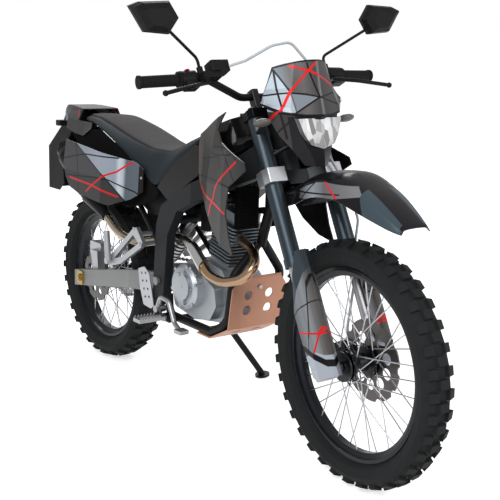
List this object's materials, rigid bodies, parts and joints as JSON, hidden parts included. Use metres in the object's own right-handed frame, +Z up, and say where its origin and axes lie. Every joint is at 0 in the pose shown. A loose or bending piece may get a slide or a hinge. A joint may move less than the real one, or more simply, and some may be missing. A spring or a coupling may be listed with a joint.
{
  "type": "trail motorcycle",
  "caption": "Trail motorcycle on its side stand, with knobbly tyres, wire wheels, high mudguard, headlight mask, long seat and open engine.",
  "frame": {"origin": "on the ground below the middle of the overall box", "axes": "+X forwards, +Y to the rider's left, +Z up; the machine leans to its left on its side stand"},
  "size_m": [2.1717, 0.9276, 1.3575],
  "materials": {
    "frame_slate": "matte",
    "black_metal": "satin",
    "arm_grey": "satin",
    "steel_plain": "satin",
    "chain_steel": "satin",
    "engine_silver": "satin",
    "engine_dark": "matte",
    "header_gold": "satin",
    "silencer_dark": "satin",
    "skid_copper": "satin",
    "graphic_grey": "gloss",
    "black_plastic": "matte",
    "gloss_black": "gloss",
    "seat_cover": "matte",
    "lamp_red": "gloss",
    "clamp_silver": "satin",
    "fork_blue_grey": "satin",
    "grip_rubber": "matte",
    "lamp_clear": "gloss",
    "hose_clear": "satin",
    "tyre_rubber": "matte",
    "rim_black": "satin",
    "spoke_steel": "satin",
    "disc_steel": "satin"
  },
  "bodies": {
    "chassis": {"frame": "frame_slate", "cradle": "black_metal", "subframe": "black_metal", "swingarm": "arm_grey", "rear_axle": "steel_plain", "chain": "chain_steel", "engine_cases": "engine_silver", "engine_covers": "engine_silver", "cylinder": "engine_dark", "header_pipe": "header_gold", "silencer": "silencer_dark", "skid_plate": "skid_copper", "oil_cooler": "black_metal", "rear_shock": "steel_plain", "shrouds": "graphic_grey", "side_panels": "graphic_grey", "inner_panels": "black_plastic", "tank": "gloss_black", "seat": "seat_cover", "airbox": "black_plastic", "tail": "gloss_black", "plate_holder": "black_plastic", "tail_lamp": "lamp_red", "footpegs": "steel_plain", "peg_hangers": "clamp_silver", "foot_controls": "steel_plain", "rear_caliper": "black_metal"},
    "steering": {"triple_clamps": "clamp_silver", "fork_outer_tubes": "fork_blue_grey", "fork_inner_tubes": "steel_plain", "fork_guards": "graphic_grey", "front_axle": "steel_plain", "handlebar": "black_metal", "grips": "grip_rubber", "bar_controls": "black_plastic", "levers": "black_metal", "mirrors": "black_plastic", "front_fender": "gloss_black", "headlight_mask": "graphic_grey", "headlight": "lamp_clear", "instrument": "black_plastic", "front_caliper": "black_metal", "front_indicators": "black_plastic", "brake_hose": "hose_clear"},
    "front_wheel": {"front_tyre": "tyre_rubber", "front_rim": "rim_black", "front_hub": "spoke_steel", "front_disc": "disc_steel"},
    "rear_wheel": {"rear_tyre": "tyre_rubber", "rear_rim": "rim_black", "rear_hub": "spoke_steel", "rear_disc": "disc_steel", "rear_sprocket": "steel_plain"},
    "side_stand": {"side_stand": "black_metal"}
  },
  "joints": [
    {"name": "steer", "type": "hinge", "parent": "chassis", "child": "steering", "pos_m": [0.38771, -0.05421, 0.89046], "axis": [-0.4543, 0.1394, 0.8799], "range_deg": [-36, 44]},
    {"name": "front_wheel_spin", "type": "hinge", "parent": "steering", "child": "front_wheel", "pos_m": [0.7386, -0.14484, 0.34597], "axis": [0.0622, 0.9902, -0.1248], "continuous": true},
    {"name": "rear_wheel_spin", "type": "hinge", "parent": "chassis", "child": "rear_wheel", "pos_m": [-0.6521, -0.14494, 0.31726], "axis": [0.0001, 0.9877, -0.1564], "continuous": true},
    {"name": "side_stand_fold", "type": "hinge", "parent": "chassis", "child": "side_stand", "pos_m": [-0.07408, -0.03352, 0.24108], "axis": [-0.1996, 0.9799, -0.0062], "range_deg": [0, 105]}
  ]
}
